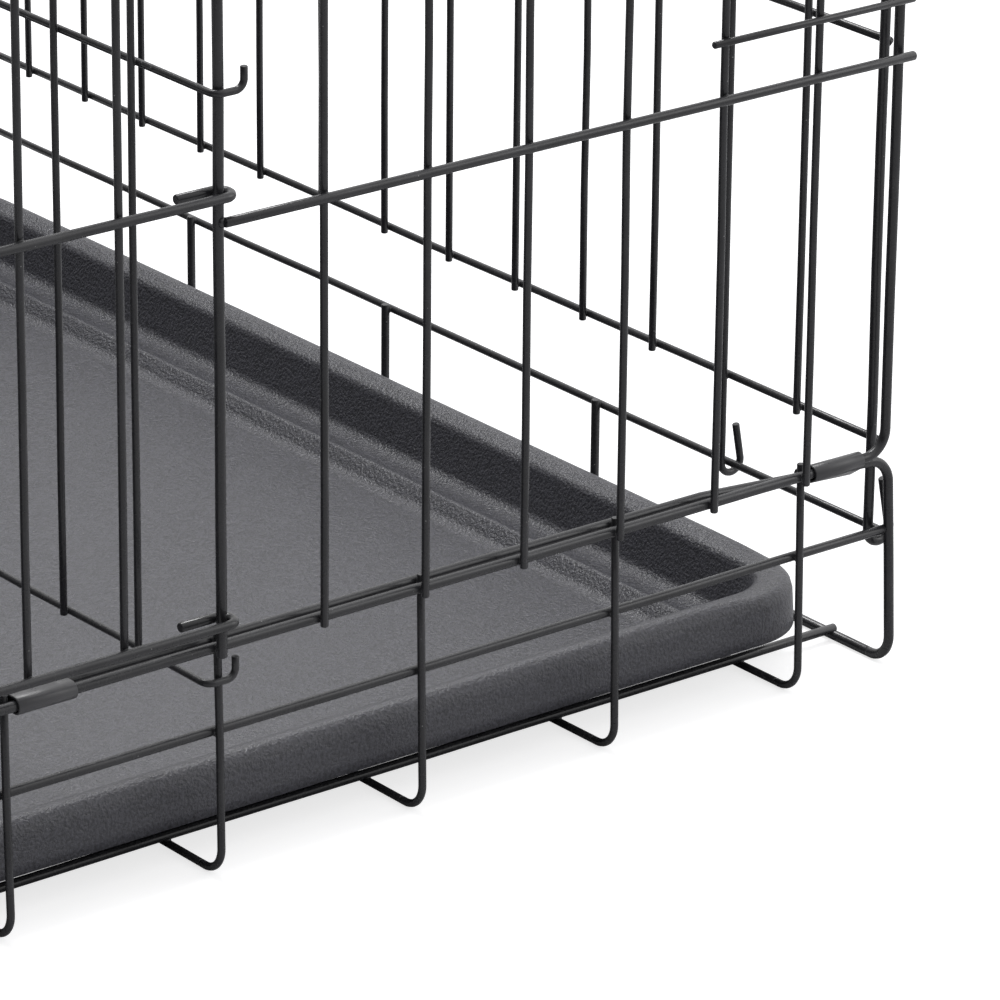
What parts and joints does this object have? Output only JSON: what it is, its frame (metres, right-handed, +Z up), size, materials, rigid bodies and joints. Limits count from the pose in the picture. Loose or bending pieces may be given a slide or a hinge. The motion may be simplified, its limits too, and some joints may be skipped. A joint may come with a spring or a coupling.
{
  "type": "wire dog crate",
  "caption": "Folding black wire dog crate with a slide-out pan, hinged front and side doors with slide bolts, inward-folding end panels and a hook-in divider.",
  "frame": {"origin": "on the floor, under the centre of the base", "axes": "+X along the crate from the front door to the back, +Y across it away from the side door, +Z up"},
  "size_m": [0.78, 0.5325, 0.533],
  "materials": {
    "coated_wire": "satin black coat over drawn steel wire",
    "bolt_wire": "satin black coat over drawn steel wire",
    "clip_steel": "satin black coat over sheet steel",
    "pan_plastic": "matte with a pebbled grain"
  },
  "bodies": {
    "crate": {"base_floor_grid": "coated_wire", "base_near_rail": "coated_wire", "base_far_rail": "coated_wire", "base_front_wire": "coated_wire", "base_back_wire": "coated_wire", "near_side_panel": "coated_wire", "far_side_panel": "coated_wire", "top_panel": "coated_wire", "divider_panel": "coated_wire", "near_base_clips": "clip_steel", "far_base_clips": "clip_steel", "near_top_clips": "clip_steel", "far_top_clips": "clip_steel", "near_corner_rungs": "coated_wire", "far_corner_rungs": "coated_wire", "front_panel_stops": "coated_wire", "back_panel_stops": "coated_wire", "side_door_keepers": "coated_wire"},
    "front_end": {"front_panel": "coated_wire", "front_door_keepers": "coated_wire"},
    "back_end": {"back_panel": "coated_wire"},
    "side_gate": {"side_door": "coated_wire", "side_door_guides": "coated_wire"},
    "front_gate": {"front_door": "coated_wire", "front_door_guides": "coated_wire"},
    "tray": {"pan": "pan_plastic"},
    "side_latch_low": {"side_bolt_lower": "bolt_wire"},
    "side_latch_high": {"side_bolt_upper": "bolt_wire"},
    "front_latch_low": {"front_bolt_lower": "bolt_wire"},
    "front_latch_high": {"front_bolt_upper": "bolt_wire"}
  },
  "joints": [
    {"name": "front_panel_fold", "type": "hinge", "parent": "crate", "child": "front_end", "pos_m": [-0.38295, 0, 0.0433], "axis": [0, -1, 0], "range_deg": [-88, 0]},
    {"name": "back_panel_fold", "type": "hinge", "parent": "crate", "child": "back_end", "pos_m": [0.38295, 0, 0.0433], "axis": [0, 1, 0], "range_deg": [-30, 0]},
    {"name": "side_door_hinge", "type": "hinge", "parent": "crate", "child": "side_gate", "pos_m": [0.12633, -0.25835, 0.27], "axis": [0, 0, 1], "range_deg": [0, 165]},
    {"name": "front_door_hinge", "type": "hinge", "parent": "front_end", "child": "front_gate", "pos_m": [-0.38045, -0.14034, 0.27], "axis": [0, 0, 1], "range_deg": [0, 165]},
    {"name": "pan_slide", "type": "slide", "parent": "crate", "child": "tray", "axis": [-1, 0, 0], "range_m": [0, 0.7]},
    {"name": "side_bolt_lower_slide", "type": "slide", "parent": "side_gate", "child": "side_latch_low", "axis": [-1, 0, 0], "range_m": [0, 0.024]},
    {"name": "side_bolt_upper_slide", "type": "slide", "parent": "side_gate", "child": "side_latch_high", "axis": [-1, 0, 0], "range_m": [0, 0.024]},
    {"name": "front_bolt_lower_slide", "type": "slide", "parent": "front_gate", "child": "front_latch_low", "axis": [0, 1, 0], "range_m": [0, 0.024]},
    {"name": "front_bolt_upper_slide", "type": "slide", "parent": "front_gate", "child": "front_latch_high", "axis": [0, 1, 0], "range_m": [0, 0.024]}
  ]
}
